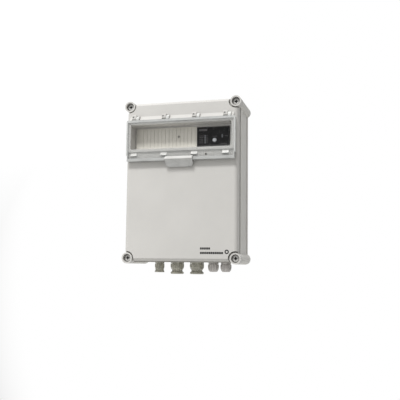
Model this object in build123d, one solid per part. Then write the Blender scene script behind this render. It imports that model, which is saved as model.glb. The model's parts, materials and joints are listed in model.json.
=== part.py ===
from build123d import *
import os

# A wall-mounted motor protection breaker in an insulated plastic enclosure, in millimetres.
# X runs to the right, Y runs back into the wall and Z runs up. The origin is the centre of
# the rear face that lies on the wall. Depths are given as f, the distance in front of the
# wall, so f = -y.

# --- Enclosure: overall sizes ---
SCREW_X = 126.0            # corner columns, from the centre line
SCREW_Z = 176.0
COLUMN_R = 12.5
BASE_HALF = (131.0, 182.0)
COLLAR_HALF = (133.0, 184.5)
COLLAR_F = 71.0            # the collar runs from here to the seam
REAR_BEAD = 12.0
SEAM_F = 95.5              # front edge of the base
WALL = 3.5
CAVITY_HALF = (BASE_HALF[0] - WALL, BASE_HALF[1] - WALL)
COLUMN_INNER_R = 14.5
COLUMN_BORE_R = 6.0
WALL_HOLE_R = 3.25
WALL_HOLE_DEPTH = 6.0

# --- Gasket in the base's rim ---
GASKET_GROW = (1.2, 3.2)
GASKET_F = (93.0, 96.0)
GROOVE_PLAY = 0.1

# --- Lid ---
LID_HALF = (131.5, 182.5)
LID_REAR_F = 96.3
LID_FRONT_F = 121.0
LID_SIDE_R = 9.0
LID_STEP = 0.8             # the front panel stands this much above the end bevels
LID_BEVEL = 6.0
LID_CORNER_R = 19.5
MOAT_R = 16.0
MOAT_F = 109.0
BOSS_FRONT_F = 119.5
BOSS_RECESS = (9.3, 108.0)

# --- Window recess, bezel and ramp on the lid ---
RECESS_HALF_X = 119.0
RECESS_Z = (72.0, 130.0)
RECESS_FLOOR_F = (92.5, 95.0)
PAN_WALL = 2.5
BEZEL_HALF_X = 124.5
BEZEL_Z = (66.0, 135.5)
BEZEL_F = 129.5
BAR_Z = (47.5, 66.0)
BAR_F = 126.0
CATCH_Z = (57.0, 64.5)
CATCH_F = 129.8
CATCH_W = 15.0
RAMP_Z = (140.6, 150.5)
RAMP_F = 129.0

# --- Modular devices: 18 mm modules in a 45 mm high cut-out ---
MODULE = 18.0
CUTOUT_X = (-6 * MODULE, 6 * MODULE)
CUTOUT_Z = (80.0, 125.0)
RAIL_UPPER_Z = 102.5
RAIL_LOWER_Z = -20.0

# --- Window flap and its hinges, one hinge every four modules ---
HINGE_PITCH = 4 * MODULE
HINGE_X = [-109.0 + HINGE_PITCH * i for i in range(4)]
CATCH_X = [x - 2.0 for x in HINGE_X]
HINGE_Z = 146.0
HINGE_F = 127.0
PIN_R = 1.2
PIN_BORE_R = 1.25
FLAP_HALF_X = 128.0
FLAP_Z = (44.0, 140.0)
FLAP_F = (130.5, 133.0)
SKIRT_F = 121.8
SKIRT_T = 2.5
SEAL_HOLE = (60.4, 55.9)
SEAL_HOLE_R = 2.25
TAB_X = (-33.0, 31.0)
TAB_Z = (29.5, 54.0)

# --- Display panel ---
FASCIA_X = (31.2, 107.6)
FASCIA_Z = (80.6, 124.4)
FASCIA_F = (95.0, 97.2)
BOARD_F = (84.0, 85.6)
BUTTON = (72.9, 93.4)
BUTTON_R = 4.0
BUTTON_PLAY = 0.35
LED_X = 50.5
LED_Z = [88.0 + 4.0 * i for i in range(5)]
LED_R = 1.2
LENS = (90.6, 102.3, 2.4, 8.4)
STRIP_X = (-117.0, 30.6)
STRIP_RIVET = (-12.5, 104.6)

# --- Inside: mounting plate, rails and devices ---
PLATE_HALF = (112.0, 158.0)
PLATE_F = (9.0, 11.0)
PLATE_SCREWS = [(sx * 104.0, sz * 150.0) for sx in (-1, 1) for sz in (-1, 1)]
RAIL_TOP_F = PLATE_F[1] + 7.5
DEVICE_X = (-100.0, -55.0)

# --- Cable glands in the bottom wall: x, spigot R, bore R, hex across flats, form ---
GLAND_F = 40.0
GLANDS = [
    (-73.0, 7.9, 5.0, 20.0, "flanged"),
    (-29.2, 12.2, 8.5, 28.4, "trumpet"),
    (18.8, 12.4, 8.5, 29.4, "trumpet"),
    (58.6, 9.6, 6.5, 21.0, "dome"),
    (88.4, 9.6, 6.5, 21.0, "dome"),
]

CORNERS = [(sx * SCREW_X, sz * SCREW_Z) for sx in (-1, 1) for sz in (-1, 1)]
OUT = "parts"


# --- Helpers ---
def slab(sketch, f0, f1):
    """An X-Z sketch made solid from f0 to f1 in front of the wall."""
    return extrude(Plane.XZ.offset(f0) * sketch, amount=f1 - f0, dir=(0, -1, 0))


def rod(x, z, r, f0, f1):
    """A cylinder whose axis runs front to back."""
    return slab(Pos(x, z) * Circle(r), f0, f1)


def block(xs, zs, fs):
    """A box from its three pairs of limits."""
    low = (Align.MIN, Align.MIN, Align.MIN)
    return Pos(xs[0], -fs[1], zs[0]) * Box(xs[1] - xs[0], fs[1] - fs[0], zs[1] - zs[0], align=low)


def side_profile(points, xs):
    """A section given as (f, z) points, made solid along X."""
    section = Polygon(*[(-f, z) for f, z in points], align=None)
    return extrude(Plane.YZ.offset(xs[0]) * section, amount=xs[1] - xs[0], dir=(1, 0, 0))


def cross_rod(f, z, r, xs):
    """A cylinder whose axis runs left to right."""
    return extrude(Plane.YZ.offset(xs[0]) * (Pos(-f, z) * Circle(r)), amount=xs[1] - xs[0])


def upright(x, f, sketch, zs):
    """A sketch made solid upwards between two heights."""
    return Pos(x, -f) * extrude(Plane.XY.offset(zs[0]) * sketch, amount=zs[1] - zs[0])


def frame_sketch(half_x, zs, r=0.0):
    """A rectangle of the given half width between two heights, with round corners if r is set."""
    height = zs[1] - zs[0]
    middle = (zs[0] + zs[1]) / 2
    shape = RectangleRounded(2 * half_x, height, r) if r else Rectangle(2 * half_x, height)
    return Pos(0, middle) * shape


def save(name, *pieces):
    """Write one sub-part, of one solid or several, to its own STEP file."""
    solids = [solid for piece in pieces for solid in piece.solids()]
    shape = solids[0] if len(solids) == 1 else Compound(solids)
    export_step(shape, f"{OUT}/{name}.step")


def flat_head_screw(x, z, head_r, shank_r, tail_f, seat_f, head_f):
    """A small slotted screw seen from the front."""
    screw = rod(x, z, head_r, seat_f, head_f) + rod(x, z, shank_r, tail_f, seat_f)
    slot = block((x - head_r, x + head_r), (z - 0.35, z + 0.35), (head_f - 0.6, head_f + 1))
    return screw - slot


# --- Enclosure base ---
def corner_circles(r):
    return [Pos(x, z) * Circle(r) for x, z in CORNERS]


def base_outline(half, r):
    shape = RectangleRounded(2 * half[0], 2 * half[1], r)
    for circle in corner_circles(COLUMN_R):
        shape += circle
    return shape


def cavity_profile(grow):
    """The inside of the base, grown outwards into its wall by the given amount."""
    shape = Rectangle(2 * (CAVITY_HALF[0] + grow), 2 * (CAVITY_HALF[1] + grow))
    for circle in corner_circles(COLUMN_INNER_R - grow):
        shape -= circle
    return shape


def make_base_shell():
    bead_half = (BASE_HALF[0] + 1, BASE_HALF[1] + 1)
    shell = slab(base_outline(BASE_HALF, 6), 0, SEAM_F)
    shell += slab(base_outline(bead_half, 6), 0, REAR_BEAD)
    shell += slab(base_outline(COLLAR_HALF, 7), COLLAR_F, SEAM_F)
    shell -= slab(cavity_profile(0), WALL, SEAM_F + 1)
    groove = cavity_profile(GASKET_GROW[1] + GROOVE_PLAY) - cavity_profile(GASKET_GROW[0] - GROOVE_PLAY)
    shell -= slab(groove, GASKET_F[0], SEAM_F + 1)
    for x, z in CORNERS:
        shell -= rod(x, z, COLUMN_BORE_R, WALL_HOLE_DEPTH, SEAM_F + 1)
        shell -= rod(x, z, WALL_HOLE_R, -1, WALL_HOLE_DEPTH)
    for x, z in PLATE_SCREWS:
        shell += rod(x, z, 5.5, WALL, PLATE_F[0])
        shell -= rod(x, z, 2.2, 3.0, PLATE_F[0])
    for x, spigot_r, _, _, _ in GLANDS:
        shell -= upright(x, GLAND_F, Circle(spigot_r + 0.2), (-BASE_HALF[1] - 2, -CAVITY_HALF[1] + 1))
    return shell


def make_gasket():
    ring = cavity_profile(GASKET_GROW[1]) - cavity_profile(GASKET_GROW[0])
    return slab(ring, *GASKET_F)


# --- Lid ---
def lid_body():
    """The lid's outer form: rounded long sides and bevelled ends."""
    depth = LID_FRONT_F - LID_REAR_F
    across = Pos(0, -(LID_REAR_F + LID_FRONT_F) / 2) * Rectangle(2 * LID_HALF[0], depth)
    across = fillet(across.vertices().group_by(Axis.Y)[0], LID_SIDE_R)
    long_way = extrude(Plane.XY.offset(-LID_HALF[1]) * across, amount=2 * LID_HALF[1])
    bevel_f = LID_FRONT_F - LID_STEP
    flat_z = LID_HALF[1] - LID_BEVEL
    half = [
        (LID_REAR_F, LID_HALF[1]),
        (bevel_f - LID_BEVEL, LID_HALF[1]),
        (bevel_f, flat_z),
        (LID_FRONT_F, flat_z),
    ]
    ends = side_profile(half + [(f, -z) for f, z in reversed(half)], (-LID_HALF[0], LID_HALF[0]))
    return long_way & ends


def lid_inside():
    """The hollow under the lid, round its corner bosses and the window's pan."""
    shape = Rectangle(2 * CAVITY_HALF[0], 2 * CAVITY_HALF[1])
    for circle in corner_circles(LID_CORNER_R):
        shape -= circle
    hollow = slab(shape, LID_REAR_F - 1, LID_FRONT_F - WALL)
    pan_z = (RECESS_Z[0] - PAN_WALL, RECESS_Z[1] + PAN_WALL)
    return hollow - slab(frame_sketch(RECESS_HALF_X + PAN_WALL, pan_z), LID_REAR_F - 2, LID_FRONT_F)


def window_surround():
    """Bezel, catch bar and upper ramp that stand in front of the lid."""
    root_f = LID_FRONT_F - 2
    shape = slab(frame_sketch(BEZEL_HALF_X, BEZEL_Z), root_f, BEZEL_F)
    shape += slab(frame_sketch(BEZEL_HALF_X, BAR_Z), root_f, BAR_F)
    for x in CATCH_X:
        wedge = [(BAR_F - 1, CATCH_Z[1]), (BAR_F, CATCH_Z[1]), (CATCH_F, CATCH_Z[0]), (BAR_F - 1, CATCH_Z[0])]
        shape += side_profile(wedge, (x - CATCH_W / 2, x + CATCH_W / 2))
    ramp = [(root_f, RAMP_Z[0]), (RAMP_F, RAMP_Z[0]), (LID_FRONT_F, RAMP_Z[1]), (root_f, RAMP_Z[1])]
    strip = side_profile(ramp, (-RECESS_HALF_X - 4, RECESS_HALF_X + 4))
    for x in HINGE_X:
        strip -= block((x - 8, x + 11.2), (RAMP_Z[0] - 1, RAMP_Z[1] + 1), (LID_FRONT_F, RAMP_F + 1))
    return shape + strip


def make_lid_cover():
    lid = lid_body() - lid_inside()
    pan_z = (RECESS_Z[0] - PAN_WALL, RECESS_Z[1] + PAN_WALL)
    lid += slab(frame_sketch(RECESS_HALF_X + PAN_WALL, pan_z), RECESS_FLOOR_F[0], LID_FRONT_F)
    lid += window_surround()
    lid -= slab(frame_sketch(RECESS_HALF_X, RECESS_Z, 2), RECESS_FLOOR_F[1], BEZEL_F + 1)
    cutout_middle = (CUTOUT_Z[0] + CUTOUT_Z[1]) / 2
    opening = Pos(0, cutout_middle) * Rectangle(CUTOUT_X[1] - CUTOUT_X[0], CUTOUT_Z[1] - CUTOUT_Z[0])
    lid -= slab(opening, RECESS_FLOOR_F[0] - 1, RECESS_FLOOR_F[1] + 1)
    for x, z in CORNERS:
        lid -= rod(x, z, MOAT_R, MOAT_F, LID_FRONT_F + 1)
        lid += rod(x, z, COLUMN_R, LID_REAR_F, BOSS_FRONT_F)
        lid -= rod(x, z, BOSS_RECESS[0], BOSS_RECESS[1], BOSS_FRONT_F + 1)
        lid -= rod(x, z, COLUMN_BORE_R, LID_REAR_F - 1, BOSS_RECESS[1] + 1)
    for x in HINGE_X:
        lid -= rod(*hinge_screw_place(x), 1.3, LID_FRONT_F - 2.8, LID_FRONT_F + 1)
    lid -= rod(*SEAL_HOLE, SEAL_HOLE_R + 0.5, BAR_F - 6, BAR_F + 1)
    return lid


def make_lid_screw(x, z):
    """A captive quarter-turn lid screw with a deep driver socket and a short cross slot."""
    head_f = BOSS_RECESS[1] + 5.0
    head = rod(x, z, 7.6, BOSS_RECESS[1], head_f)
    head = chamfer(head.edges().group_by(Axis.Y)[0], 1.2)
    socket = Circle(2.9) + Rectangle(8.4, 1.7) + Rectangle(1.7, 8.4)
    return head + rod(x, z, 5.6, 68.0, BOSS_RECESS[1]) - slab(Pos(x, z) * socket, head_f - 4.2, head_f + 1)


# --- Window flap and hinges ---
def pull_tab():
    """A finger lip with a hollow face below it, bent from the flap's own wall."""
    outer = [(-132.0, TAB_Z[1]), (-141.0, 48.0), (-141.0, 45.8)]
    inner = [(-136.5, 46.2), (-130.5, 50.2), (-130.5, TAB_Z[1])]
    edge = Polyline(*outer)
    edge += ThreePointArc(outer[-1], (-133.2, 40.5), (-126.8, TAB_Z[0]))
    edge += Line((-126.8, TAB_Z[0]), (-124.2, TAB_Z[0]))
    edge += ThreePointArc((-124.2, TAB_Z[0]), (-130.2, 41.5), inner[0])
    edge += Polyline(*inner, outer[0])
    width = TAB_X[1] - TAB_X[0]
    bent = extrude(Plane.YZ.offset(TAB_X[0]) * make_face(edge), amount=width, dir=(1, 0, 0))
    rounded = Pos((TAB_X[0] + TAB_X[1]) / 2, (TAB_Z[0] + 62) / 2) * RectangleRounded(width, 62 - TAB_Z[0], 8)
    return bent & slab(rounded, 120, 145)


def make_window_flap():
    flap = slab(frame_sketch(FLAP_HALF_X, FLAP_Z, 4), SKIRT_F, FLAP_F[1])
    inner_z = (FLAP_Z[0] + SKIRT_T, FLAP_Z[1] - 2.0)
    flap -= slab(frame_sketch(FLAP_HALF_X - SKIRT_T, inner_z, 2), SKIRT_F - 1, FLAP_F[0])
    flap -= block((TAB_X[0] + 3, TAB_X[1] - 3), (FLAP_Z[0] - 1, inner_z[0] + 1), (SKIRT_F - 1, FLAP_F[0]))
    flap += pull_tab()
    for x in CATCH_X:
        flap += block((x - CATCH_W / 2, x + CATCH_W / 2), (52.0, 55.6), (127.0, FLAP_F[0] + 0.5))
    for side in (-1, 1):
        edge_x = sorted((side * (FLAP_HALF_X - 2.2), side * (FLAP_HALF_X + 1)))
        flap -= block(edge_x, (46.0, 58.0), (SKIRT_F - 1, FLAP_F[1] + 1))
    for x in HINGE_X:
        knuckle_x = (x + 4.2, x + 10.4)
        flap += cross_rod(HINGE_F, HINGE_Z, 3.6, knuckle_x)
        flap += block(knuckle_x, (FLAP_Z[1] - 1, HINGE_Z), (HINGE_F + 0.6, FLAP_F[1]))
        flap -= cross_rod(HINGE_F, HINGE_Z, PIN_BORE_R, (knuckle_x[0] - 1, knuckle_x[1] + 1))
    flap -= rod(*SEAL_HOLE, SEAL_HOLE_R, FLAP_F[0] - 1, FLAP_F[1] + 1)
    return flap


def hinge_screw_place(x):
    return x - 3.4, HINGE_Z + 1.5


def make_hinge_bracket(x):
    """A round-edged block that carries one end of a hinge pin, with a screw sunk in it."""
    bracket = block((x - 7.5, x + 3.5), (142.0, 152.5), (LID_FRONT_F, 130.6))
    bracket = fillet(bracket.edges().group_by(Axis.Y)[0], 2.2)
    bracket -= cross_rod(HINGE_F, HINGE_Z, PIN_R, (x + 0.6, x + 4))
    screw_x, screw_z = hinge_screw_place(x)
    bracket -= rod(screw_x, screw_z, 1.3, LID_FRONT_F - 1, 132)
    return bracket - rod(screw_x, screw_z, 2.3, 127.0, 132)


def make_hinge_screw(x):
    return flat_head_screw(*hinge_screw_place(x), 2.2, 1.2, LID_FRONT_F - 2.6, 127.0, 128.4)


# --- Blanking strip ---
def make_blanking_strip():
    """A ribbed strip that closes the unused modules, scored every half module."""
    middle = (CUTOUT_Z[0] + CUTOUT_Z[1]) / 2
    tongue_x = (CUTOUT_X[0] + 0.3, STRIP_X[1] - 0.5)
    strip = block(STRIP_X, (middle - 24.0, middle + 24.0), (FASCIA_F[0], 96.8))
    strip += block(tongue_x, (CUTOUT_Z[0] + 0.3, CUTOUT_Z[1] - 0.3), (92.8, FASCIA_F[0] + 0.5))
    for i in range(1, 16):
        groove_x = CUTOUT_X[0] + i * MODULE / 2
        strip -= block((groove_x - 0.4, groove_x + 0.4), (middle - 22.0, middle + 22.0), (96.1, 98))
    return strip - rod(*STRIP_RIVET, 1.7, 90, 98)


def make_blanking_rivet():
    x, z = STRIP_RIVET
    return rod(x, z, 2.7, 96.8, 97.8) + rod(x, z, 1.6, 89.5, 96.8) + rod(x, z, 2.4, 89.0, 92.5)


# --- Display ---
def lens_sketch(grow):
    x, z, width, height = LENS
    return Pos(x, z) * Rot(0, 0, 90) * SlotOverall(height + grow, width + grow)


def make_display_fascia():
    panel_x = (FASCIA_X[0] + FASCIA_X[1]) / 2
    panel_z = (FASCIA_Z[0] + FASCIA_Z[1]) / 2
    width = FASCIA_X[1] - FASCIA_X[0]
    height = FASCIA_Z[1] - FASCIA_Z[0]
    outer = Pos(panel_x, panel_z) * RectangleRounded(width, height, 1.2)
    inner = Pos(panel_x, panel_z) * Rectangle(width - 4, height - 4)
    fascia = slab(outer, BOARD_F[1], FASCIA_F[1]) - slab(inner, BOARD_F[1] - 1, FASCIA_F[0])
    fascia -= rod(*BUTTON, BUTTON_R + BUTTON_PLAY, FASCIA_F[0] - 1, FASCIA_F[1] + 1)
    for z in LED_Z:
        fascia -= rod(LED_X, z, LED_R + 0.1, FASCIA_F[0] - 1, FASCIA_F[1] + 1)
    return fascia - slab(lens_sketch(0.2), FASCIA_F[0] - 1, FASCIA_F[1] + 1)


def make_display_board():
    board = block((FASCIA_X[0], FASCIA_X[1]), FASCIA_Z, BOARD_F)
    board += block((40.0, 58.0), (92.0, 112.0), (BOARD_F[0] - 5, BOARD_F[0]))
    board += block((78.0, 102.0), (96.0, 104.0), (BOARD_F[0] - 4, BOARD_F[0]))
    return board + block((66.0, 74.0), (108.0, 116.0), (BOARD_F[0] - 7, BOARD_F[0]))


def make_light_pipes():
    return [rod(LED_X, z, LED_R, BOARD_F[1], FASCIA_F[1] + 0.3) for z in LED_Z]


def make_status_lens():
    return slab(lens_sketch(0), BOARD_F[1], FASCIA_F[1] + 0.4)


def make_reset_button():
    button = rod(*BUTTON, BUTTON_R, 93.0, FASCIA_F[1] + 2.3)
    return button + rod(*BUTTON, BUTTON_R + 1.4, 92.6, FASCIA_F[0] - 0.3)


def make_button_dome():
    """A hollow silicone cone that pushes the button back."""
    x, z = BUTTON
    outer = [(3.0, 92.6), (1.6, 92.6), (1.6, 91.6), (2.0, 91.6), (4.2, BOARD_F[1]), (5.0, BOARD_F[1])]
    section = Plane.XZ * Polygon(*outer, align=None)
    cone = revolve(section, Axis.Z)
    return Pos(x, 0, z) * Rot(90, 0, 0) * cone


# --- Mounting plate, rails and their screws ---
def make_mounting_plate():
    plate = slab(RectangleRounded(2 * PLATE_HALF[0], 2 * PLATE_HALF[1], 6), *PLATE_F)
    for x, z in PLATE_SCREWS:
        plate -= rod(x, z, 2.6, PLATE_F[0] - 1, PLATE_F[1] + 1)
    return plate


def make_plate_screws():
    return [flat_head_screw(x, z, 4.2, 2.1, 3.6, PLATE_F[1], 14.0) for x, z in PLATE_SCREWS]


def make_rail(z, xs):
    """A 35 mm top-hat rail, 7.5 mm deep, from 1 mm steel."""
    back = PLATE_F[1]
    half = [
        (back, 13.5),
        (RAIL_TOP_F - 1, 13.5),
        (RAIL_TOP_F - 1, 17.5),
        (RAIL_TOP_F, 17.5),
        (RAIL_TOP_F, 12.5),
        (back + 1, 12.5),
    ]
    section = half + [(f, -dz) for f, dz in reversed(half)]
    return side_profile([(f, z + dz) for f, dz in section], xs)


def rail_screw(x, z):
    return flat_head_screw(x, z, 3.6, 1.8, PLATE_F[1] + 1, PLATE_F[1] + 1.4, 14.8)


# --- Devices on the rails ---
def rail_device(xs, z, steps):
    """A stepped housing that grips a rail; steps are (half height, front f) from back to front."""
    half, front = steps[0]
    body = block(xs, (z - half, z + half), (14.0, front))
    last = front
    for half, front in steps[1:]:
        body += block(xs, (z - half, z + half), (last - 1, front))
        last = front
    return body - block((xs[0] - 1, xs[1] + 1), (z - 17.8, z + 17.8), (13.0, RAIL_TOP_F + 0.3))


def pole_positions(xs, count):
    """Centres of equal poles across a device."""
    pitch = (xs[1] - xs[0]) / count
    return [xs[0] + pitch * (i + 0.5) for i in range(count)]


def terminal_pockets(body, places, z, half, front):
    """Square pockets for terminal screws, open to the front."""
    for x in places:
        body -= block((x - half, x + half), (z - half, z + half), (front - 8, front + 1))
    return body


BREAKER_FRONT = 82.0
BREAKER_TERMINAL_F = 60.0
BREAKER_TERMINAL_Z = [RAIL_UPPER_Z - 38.5, RAIL_UPPER_Z + 38.5]
KNOB = ((DEVICE_X[0] + DEVICE_X[1]) / 2, RAIL_UPPER_Z)


def make_breaker_housing():
    steps = [(45.0, BREAKER_TERMINAL_F), (31.0, 70.0), (22.2, BREAKER_FRONT)]
    body = rail_device(DEVICE_X, RAIL_UPPER_Z, steps)
    for z in BREAKER_TERMINAL_Z:
        body = terminal_pockets(body, pole_positions(DEVICE_X, 3), z, 4.2, BREAKER_TERMINAL_F)
    return body - rod(*KNOB, 3.06, BREAKER_FRONT - 8, BREAKER_FRONT + 1)


def make_breaker_knob():
    x, z = KNOB
    knob = rod(x, z, 3.0, BREAKER_FRONT - 7, BREAKER_FRONT + 1)
    knob += rod(x, z, 12.0, BREAKER_FRONT + 0.4, BREAKER_FRONT + 3.4)
    return knob + block((x - 3.2, x + 3.2), (z - 11.0, z + 11.0), (BREAKER_FRONT + 3, BREAKER_FRONT + 8))


def pocket_screws(places, heights, head_r, front):
    """Terminal screws seated on the floor of their pockets."""
    floor = front - 8
    return [flat_head_screw(x, z, head_r, head_r - 1, floor, floor + 2, floor + 5) for x in places for z in heights]


CONTACTOR_FRONT = 78.0
CONTACTOR_TERMINAL_F = 58.0
CONTACTOR_TERMINAL_Z = [RAIL_LOWER_Z - 30.0, RAIL_LOWER_Z + 30.0]
ARMATURE_HALF = (5.0, 8.0)


def make_contactor_housing():
    steps = [(38.0, CONTACTOR_TERMINAL_F), (22.0, CONTACTOR_FRONT)]
    body = rail_device(DEVICE_X, RAIL_LOWER_Z, steps)
    for z in CONTACTOR_TERMINAL_Z:
        body = terminal_pockets(body, pole_positions(DEVICE_X, 3), z, 4.4, CONTACTOR_TERMINAL_F)
    x, z = KNOB[0], RAIL_LOWER_Z
    half_x, half_z = ARMATURE_HALF
    return body - block((x - half_x, x + half_x), (z - half_z, z + half_z), (62.0, CONTACTOR_FRONT + 1))


def make_contactor_armature():
    x, z = KNOB[0], RAIL_LOWER_Z
    half_x, half_z = ARMATURE_HALF[0] - 0.4, ARMATURE_HALF[1] - 0.4
    bar = block((x - half_x, x + half_x), (z - half_z, z + half_z), (68.0, CONTACTOR_FRONT + 2))
    return bar - block((x - 1.5, x + 1.5), (z - half_z - 1, z + half_z + 1), (CONTACTOR_FRONT + 1, 82.0))


RELAY_Z = (-112.0, -59.0)
RELAY_FRONT = 66.0
DIAL = (-87.0, -78.0)
RELAY_RESET = (-67.0, -78.0)


def make_overload_relay():
    body = block(DEVICE_X, RELAY_Z, (22.0, 52.0)) + block(DEVICE_X, (-94.0, RELAY_Z[1]), (51.0, RELAY_FRONT))
    for x in pole_positions(DEVICE_X, 3):
        body += block((x - 3.0, x + 3.0), (RELAY_Z[1] - 1, -58.3), (40.0, 43.0))
    body = terminal_pockets(body, pole_positions(DEVICE_X, 3), -103.0, 4.4, 52.0)
    body -= rod(*DIAL, 3.06, RELAY_FRONT - 6, RELAY_FRONT + 1)
    return body - rod(*RELAY_RESET, 4.0, RELAY_FRONT - 7, RELAY_FRONT + 1)


def make_overload_dial():
    x, z = DIAL
    dial = rod(x, z, 3.0, RELAY_FRONT - 5, RELAY_FRONT + 1) + rod(x, z, 7.0, RELAY_FRONT + 0.4, RELAY_FRONT + 2.6)
    return dial - block((x - 5.5, x + 5.5), (z - 0.6, z + 0.6), (RELAY_FRONT + 1.4, RELAY_FRONT + 3))


def make_overload_reset():
    return rod(*RELAY_RESET, 3.6, RELAY_FRONT - 3.5, RELAY_FRONT + 3.0)


def make_fuse_holder():
    steps = [(42.0, 58.0), (22.2, 74.0)]
    body = rail_device((-50.0, -32.4), RAIL_UPPER_Z, steps)
    return body - block((-45.0, -37.4), (RAIL_UPPER_Z - 14, RAIL_UPPER_Z + 14), (72.0, 75.0))


def make_control_transformer():
    return rail_device((40.0, 94.0), RAIL_UPPER_Z, [(42.0, 54.0), (22.2, 68.0)])


TERMINAL_PITCH = 6.2
TERMINAL_COUNT = 10
TERMINAL_START = -42.0


def make_terminal_block(x):
    xs = (x, x + TERMINAL_PITCH - 0.2)
    body = rail_device(xs, RAIL_LOWER_Z, [(24.0, 46.0), (14.0, 54.0)])
    middle = (xs[0] + xs[1]) / 2
    for z in (RAIL_LOWER_Z - 19.0, RAIL_LOWER_Z + 19.0):
        body -= block((middle - 2.2, middle + 2.2), (z - 2.2, z + 2.2), (40.0, 47.0))
    return body


def make_end_clamp(x):
    return rail_device((x, x + 8.0), RAIL_LOWER_Z, [(21.0, 40.0)])


# --- Earth bar ---
EARTH_X = (-40.0, 40.0)
EARTH_Z = -132.0


def make_earth_bar():
    bar = block(EARTH_X, (EARTH_Z - 4.5, EARTH_Z + 4.5), (19.0, 28.0))
    for x in (EARTH_X[0] + 6, EARTH_X[1] - 6):
        bar += block((x - 5, x + 5), (EARTH_Z - 4.5, EARTH_Z + 4.5), (PLATE_F[1], 20.0))
    return bar


def make_earth_screws():
    places = pole_positions(EARTH_X, 8)
    return [flat_head_screw(x, EARTH_Z, 3.4, 1.9, 28.0, 28.5, 31.5) for x in places]


# --- Control board ---
BOARD_X = (46.0, 108.0)
BOARD_Z = (-88.0, 48.0)
CONTROL_F = (17.0, 18.6)


def make_control_board():
    return block(BOARD_X, BOARD_Z, CONTROL_F)


def make_board_pillars():
    corners = [(x, z) for x in (BOARD_X[0] + 5, BOARD_X[1] - 5) for z in (BOARD_Z[0] + 5, BOARD_Z[1] - 5)]
    return [upright_pillar(x, z) for x, z in corners]


def upright_pillar(x, z):
    hexagon = Pos(x, z) * RegularPolygon(3.2, 6)
    return slab(hexagon, PLATE_F[1], CONTROL_F[0])


def make_board_relays():
    return [block((56.0 + 16 * i, 68.0 + 16 * i), (-20.0, 9.0), (CONTROL_F[1], 44.0)) for i in range(3)]


def make_board_transformer():
    core = block((56.0, 98.0), (15.0, 36.0), (CONTROL_F[1], 40.0))
    return core + block((60.0, 94.0), (17.0, 34.0), (39.0, 48.0))


def make_board_terminals():
    body = block((54.0, 100.0), (-84.0, -74.0), (CONTROL_F[1], 32.0))
    for x in pole_positions((54.0, 100.0), 8):
        body -= block((x - 2.0, x + 2.0), (-81.0, -77.0), (27.0, 33.0))
    return body


# --- Cable glands ---
GLAND_TOP_Z = -BASE_HALF[1]
WASHER_T = 1.2


def hexagon(across_flats):
    return RegularPolygon(across_flats / 2, 6, major_radius=False)


def gland_levels(form):
    """Heights of a gland: flange bottom, thread bottom and seal bottom."""
    flange = GLAND_TOP_Z - WASHER_T - 4.3
    thread = {"flanged": 8.5, "trumpet": 6.5, "dome": 6.5}[form]
    seal = {"flanged": 5.0, "trumpet": 5.0, "dome": 4.5}[form]
    return flange, flange - thread, flange - thread - seal


def make_gland_body(x, spigot_r, bore_r, flats, form):
    flange, thread, _ = gland_levels(form)
    top = -CAVITY_HALF[1] + 9.0
    body = upright(x, GLAND_F, Circle(spigot_r), (GLAND_TOP_Z - WASHER_T - 1, top))
    body += upright(x, GLAND_F, hexagon(flats), (flange, GLAND_TOP_Z - WASHER_T))
    body += upright(x, GLAND_F, Circle(spigot_r - 0.4), (thread, flange + 1))
    return body - upright(x, GLAND_F, Circle(bore_r), (thread - 1, top + 1))


def make_gland_seal(x, spigot_r, bore_r, flats, form):
    _, thread, seal = gland_levels(form)
    return upright(x, GLAND_F, Circle(spigot_r - 0.4) - Circle(bore_r + 0.3), (seal, thread))


def make_gland_washer(x, spigot_r, bore_r, flats, form):
    return upright(x, GLAND_F, Circle(flats / 2) - Circle(spigot_r + 0.1), (GLAND_TOP_Z - WASHER_T, GLAND_TOP_Z))


def make_gland_locknut(x, spigot_r, bore_r, flats, form):
    ring = hexagon(flats) - Circle(spigot_r + 0.1)
    return upright(x, GLAND_F, ring, (-CAVITY_HALF[1], -CAVITY_HALF[1] + 5.0))


def nut_outline(spigot_r, bore_r, flats, form):
    """Half section of a dome nut as (radius, height) points, from its top outer edge round."""
    flange, _, seal = gland_levels(form)
    top = flange - 0.4
    wide = flats / 2 / 0.87
    mouth = bore_r + 1.0
    chamber = spigot_r - 0.1
    chamber_floor = seal - 0.4
    inside = [(mouth, chamber_floor), (chamber, chamber_floor), (chamber, top)]
    if form == "trumpet":
        outside = [(wide, top), (wide, -195.5), (wide - 1.6, -199.0), (wide - 3.8, -202.0), (wide - 4.2, -203.8)]
        lip = [(wide - 3.2, -205.4), (wide - 0.8, -207.8), (wide - 0.6, -209.4), (wide - 1.4, -211.1)]
        return outside + lip + [(wide - 2.6, -211.6), (wide - 4.0, -211.6), (mouth, -205.5)] + inside
    if form == "flanged":
        outside = [(wide, top), (wide, -197.5), (wide - 1.4, -200.5), (wide - 1.4, -203.0), (wide, -205.5)]
        return outside + [(wide, -208.0), (mouth, -208.0)] + inside
    outside = [(11.5, top), (12.5, -190.0), (12.9, -193.5), (12.7, -197.0), (12.0, -200.2), (10.6, -203.2)]
    return outside + [(9.1, -205.2), (mouth + 0.4, -206.0), (mouth, -205.6)] + inside


def make_gland_nut(x, spigot_r, bore_r, flats, form):
    points = nut_outline(spigot_r, bore_r, flats, form)
    nut = revolve(Plane.XZ * Polygon(*points, align=None), Axis.Z)
    flats_end = {"flanged": -199.0, "trumpet": -200.0, "dome": -207.0}[form]
    grip_flats = flats + 3 if form == "dome" else flats
    grip = extrude(Plane.XY.offset(flats_end) * hexagon(grip_flats), amount=30)
    if form != "dome":
        grip += extrude(Plane.XY.offset(-215) * Circle(20), amount=flats_end + 215)
    return Pos(x, -GLAND_F) * (nut & grip)


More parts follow.
